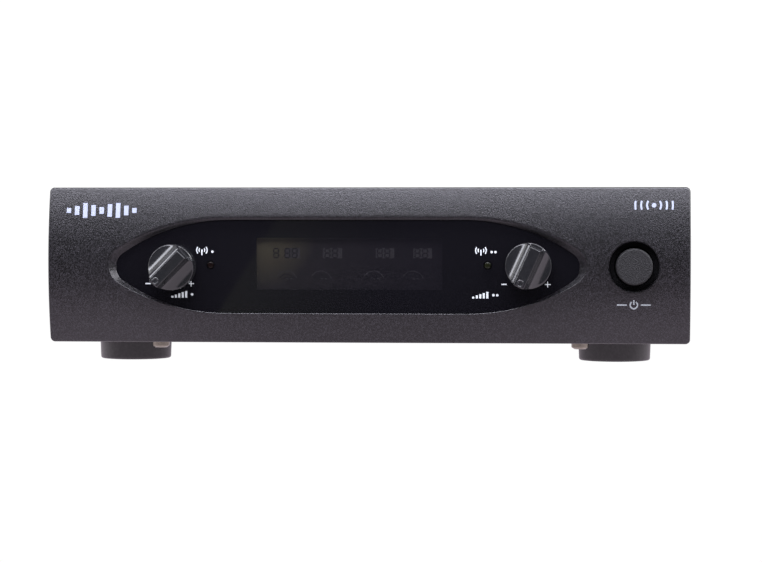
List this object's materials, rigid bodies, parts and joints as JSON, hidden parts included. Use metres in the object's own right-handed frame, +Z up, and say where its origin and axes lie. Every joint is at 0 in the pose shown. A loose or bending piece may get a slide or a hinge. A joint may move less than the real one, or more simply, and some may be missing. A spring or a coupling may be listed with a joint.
{
  "type": "wireless microphone receiver",
  "caption": "Half-rack wireless receiver with a bowed grey fascia, almond display window, volume knobs and a round power button.",
  "frame": {"origin": "on the surface the feet stand on, at the middle of the whole object's width and depth", "axes": "+X to the right of the fascia, +Y from the fascia to the rear, +Z up"},
  "size_m": [0.212, 0.1788, 0.0582],
  "materials": {
    "fascia_grey": "fine metallic grey paint on moulded plastic, satin",
    "window_black": "smoked black, polished",
    "steel_black": "powder coated sheet steel, satin black",
    "knob_black": "semi-gloss charcoal",
    "button_black": "fine texture, dark grey",
    "foot_black": "satin black",
    "plated_steel": "zinc plated",
    "nickel": "satin nickel plate",
    "board_green": "solder resist over glass fibre",
    "display_glass": "unlit liquid crystal cell",
    "display_holder": "moulded black",
    "backlight_white": "diffusing white",
    "led_clear": "tinted clear epoxy",
    "tinned_steel": "tin plate",
    "moulded_black": "moulded black",
    "cable_grey": "flat cable insulation"
  },
  "bodies": {
    "receiver_case": {"front_panel": "fascia_grey", "display_window": "window_black", "base_chassis": "steel_black", "top_cover": "steel_black", "foot_front_left": "foot_black", "foot_front_right": "foot_black", "foot_rear_left": "foot_black", "foot_rear_right": "foot_black", "foot_screw_front_left": "plated_steel", "foot_screw_front_right": "plated_steel", "foot_screw_rear_left": "plated_steel", "foot_screw_rear_right": "plated_steel", "cover_screw_front_left": "plated_steel", "cover_screw_front_right": "plated_steel", "cover_screw_rear_left": "plated_steel", "cover_screw_rear_right": "plated_steel", "panel_screw_left": "plated_steel", "panel_screw_right": "plated_steel", "main_board_screw_1": "plated_steel", "main_board_screw_2": "plated_steel", "main_board_screw_3": "plated_steel", "main_board_screw_4": "plated_steel", "xlr_screw_a_1": "plated_steel", "xlr_screw_a_2": "plated_steel", "xlr_screw_b_1": "plated_steel", "xlr_screw_b_2": "plated_steel", "antenna_socket_a": "nickel", "antenna_socket_b": "nickel", "antenna_nut_a": "nickel", "antenna_nut_b": "nickel", "xlr_shell_a": "nickel", "xlr_shell_b": "nickel", "mix_jack_nut": "nickel", "display_board": "board_green", "main_board": "board_green", "lcd_glass": "display_glass", "lcd_holder": "display_holder", "lcd_backlight": "backlight_white", "signal_led_a": "led_clear", "signal_led_b": "led_clear", "rf_shield_a": "tinned_steel", "rf_shield_b": "tinned_steel", "power_switch_body": "tinned_steel", "pot_body_a": "moulded_black", "pot_body_b": "moulded_black", "button_collar": "moulded_black", "voltage_regulator": "moulded_black", "antenna_lead_a": "moulded_black", "antenna_lead_b": "moulded_black", "xlr_insert_a": "moulded_black", "xlr_insert_b": "moulded_black", "mix_jack": "moulded_black", "dc_inlet": "moulded_black", "ribbon_cable": "cable_grey"},
    "volume_control_a": {"volume_knob_a": "knob_black", "pot_shaft_a": "nickel"},
    "volume_control_b": {"volume_knob_b": "knob_black", "pot_shaft_b": "nickel"},
    "power_key": {"power_button": "button_black", "power_switch_plunger": "moulded_black"}
  },
  "joints": [
    {"name": "volume_a_turn", "type": "hinge", "parent": "receiver_case", "child": "volume_control_a", "pos_m": [-0.06405, -0.0787, 0.03185], "axis": [0, 1, 0], "range_deg": [-20, 280]},
    {"name": "volume_b_turn", "type": "hinge", "parent": "receiver_case", "child": "volume_control_b", "pos_m": [0.0533, -0.0787, 0.0325], "axis": [0, 1, 0], "range_deg": [0, 300]},
    {"name": "power_press", "type": "slide", "parent": "receiver_case", "child": "power_key", "axis": [0, 1, 0], "range_m": [0, 0.003], "stiffness_N_per_m": 500}
  ]
}
